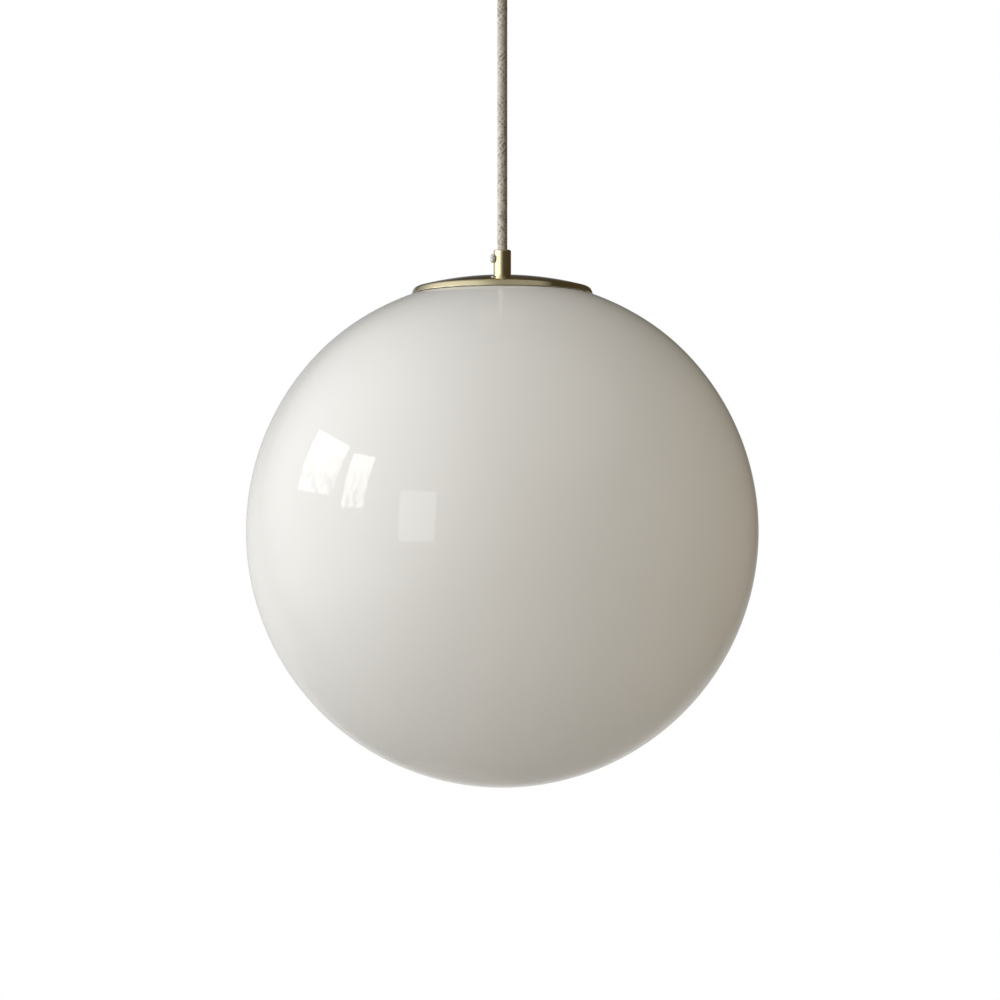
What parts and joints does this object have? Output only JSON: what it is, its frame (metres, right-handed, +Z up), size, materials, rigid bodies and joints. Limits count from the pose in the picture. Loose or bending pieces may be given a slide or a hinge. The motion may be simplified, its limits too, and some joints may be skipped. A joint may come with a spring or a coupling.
{
  "type": "pendant ceiling light",
  "caption": "Opal glass globe under a shallow brass cap, hung on a textile cord from a round brass canopy.",
  "frame": {"origin": "centre of the canopy on the ceiling plane", "axes": "+Z up, out of the ceiling mount along the cord's axis; +X along the row of the two ceiling screws; the clamping screws point to -X, a little towards -Y"},
  "size_m": [0.3499, 0.35, 0.596],
  "materials": {
    "steel": "zinc plated",
    "polished_brass": "polished and lacquered",
    "raw_brass": "as machined",
    "clear_nylon": "clear",
    "cord_textile": "linen braid",
    "brown_pvc": "smooth",
    "blue_pvc": "smooth",
    "green_pvc": "smooth, green and yellow",
    "white_nylon": "moulded",
    "silicone": "translucent white",
    "black_thermoset": "moulded",
    "steatite": "unglazed",
    "nickel_plate": "bright",
    "black_glass": "opaque",
    "white_plastic": "moulded",
    "frosted_plastic": "frosted",
    "circuit_board": "coated",
    "opal_glass": "glossy, opaque white"
  },
  "bodies": {
    "ceiling": {"ceiling_bracket": "steel", "earth_screw": "raw_brass", "terminal_block": "white_nylon", "terminal_screws": "steel", "block_screw": "steel", "canopy": "polished_brass", "canopy_washer": "steel", "canopy_nut": "raw_brass", "canopy_nipple": "steel", "canopy_grip": "polished_brass", "cord_tail": "cord_textile", "feed_wire_live": "brown_pvc", "feed_wire_neutral": "blue_pvc", "feed_wire_earth": "green_pvc"},
    "canopy_thumbscrew_left": {"canopy_screw_left": "polished_brass"},
    "canopy_thumbscrew_right": {"canopy_screw_right": "polished_brass"},
    "canopy_clamp_screw": {"canopy_grip_screw": "clear_nylon"},
    "cord_top_link": {"cord_upper": "cord_textile"},
    "cord_hanging": {"cord_lower": "cord_textile"},
    "lamp": {"cord_grip": "polished_brass", "cord_end": "cord_textile", "threaded_tube": "steel", "cap": "polished_brass", "cap_washer": "steel", "cap_nut": "raw_brass", "glass_gasket": "silicone", "holder_hub": "steel", "hub_nut": "raw_brass", "arm_pins": "steel", "arm_springs": "steel", "lampholder_cap": "black_thermoset", "lampholder_barrel": "black_thermoset", "lampholder_insulator": "steatite", "lampholder_terminals": "raw_brass", "socket_shell": "raw_brass", "centre_contact": "raw_brass", "lamp_wire_live": "brown_pvc", "lamp_wire_neutral": "blue_pvc", "lamp_wire_earth": "green_pvc", "globe": "opal_glass"},
    "lamp_clamp_screw": {"cord_grip_screw": "clear_nylon"},
    "holder_arm_1": {"arm_1": "steel", "arm_sleeve_1": "silicone"},
    "holder_arm_2": {"arm_2": "steel", "arm_sleeve_2": "silicone"},
    "holder_arm_3": {"arm_3": "steel", "arm_sleeve_3": "silicone"},
    "bulb": {"bulb_tip": "nickel_plate", "bulb_bead": "black_glass", "bulb_base": "nickel_plate", "bulb_collar": "white_plastic", "bulb_led_board": "circuit_board", "bulb_driver_board": "circuit_board", "bulb_diffuser": "frosted_plastic"}
  },
  "joints": [
    {"name": "swing_front_back", "type": "hinge", "parent": "ceiling", "child": "cord_top_link", "pos_m": [0, 0, -0.0518], "axis": [1, 0, 0], "range_deg": [-30, 30]},
    {"name": "swing_sideways", "type": "hinge", "parent": "cord_top_link", "child": "cord_hanging", "pos_m": [0, 0, -0.0758], "axis": [0, 1, 0], "range_deg": [-30, 30]},
    {"name": "lamp_twist", "type": "hinge", "parent": "cord_hanging", "child": "lamp", "pos_m": [0, 0, -0.228], "axis": [0, 0, 1], "range_deg": [-90, 90], "stiffness_Nm_per_rad": 0.01},
    {"name": "lamp_clamp_screw_turn", "type": "hinge", "parent": "lamp", "child": "lamp_clamp_screw", "pos_m": [0, 0, -0.234], "axis": [-0.9511, -0.309, 0], "range_deg": [0, 720]},
    {"name": "canopy_clamp_screw_turn", "type": "hinge", "parent": "ceiling", "child": "canopy_clamp_screw", "pos_m": [0, 0, -0.042], "axis": [-0.9511, -0.309, 0], "range_deg": [0, 720]},
    {"name": "canopy_thumbscrew_right_turn", "type": "hinge", "parent": "ceiling", "child": "canopy_thumbscrew_right", "pos_m": [0.05, 0, -0.0075], "axis": [1, 0, 0], "range_deg": [0, 1440]},
    {"name": "canopy_thumbscrew_left_turn", "type": "hinge", "parent": "ceiling", "child": "canopy_thumbscrew_left", "pos_m": [-0.05, 0, -0.0075], "axis": [-1, 0, 0], "range_deg": [0, 1440]},
    {"name": "arm_1_fold", "type": "hinge", "parent": "lamp", "child": "holder_arm_1", "pos_m": [0, 0.018, -0.26504], "axis": [-1, 0, 0], "range_deg": [0, 45], "stiffness_Nm_per_rad": 0.02, "springref_deg": -29.79},
    {"name": "arm_2_fold", "type": "hinge", "parent": "lamp", "child": "holder_arm_2", "pos_m": [-0.01559, -0.009, -0.26504], "axis": [0.5, -0.866, 0], "range_deg": [0, 45], "stiffness_Nm_per_rad": 0.02, "springref_deg": -29.79},
    {"name": "arm_3_fold", "type": "hinge", "parent": "lamp", "child": "holder_arm_3", "pos_m": [0.01559, -0.009, -0.26504], "axis": [0.5, 0.866, 0], "range_deg": [0, 45], "stiffness_Nm_per_rad": 0.02, "springref_deg": -29.79},
    {"name": "bulb_unscrew", "type": "hinge", "parent": "lamp", "child": "bulb", "pos_m": [0, 0, -0.29418], "axis": [0, 0, -1], "range_deg": [0, 1440]}
  ]
}
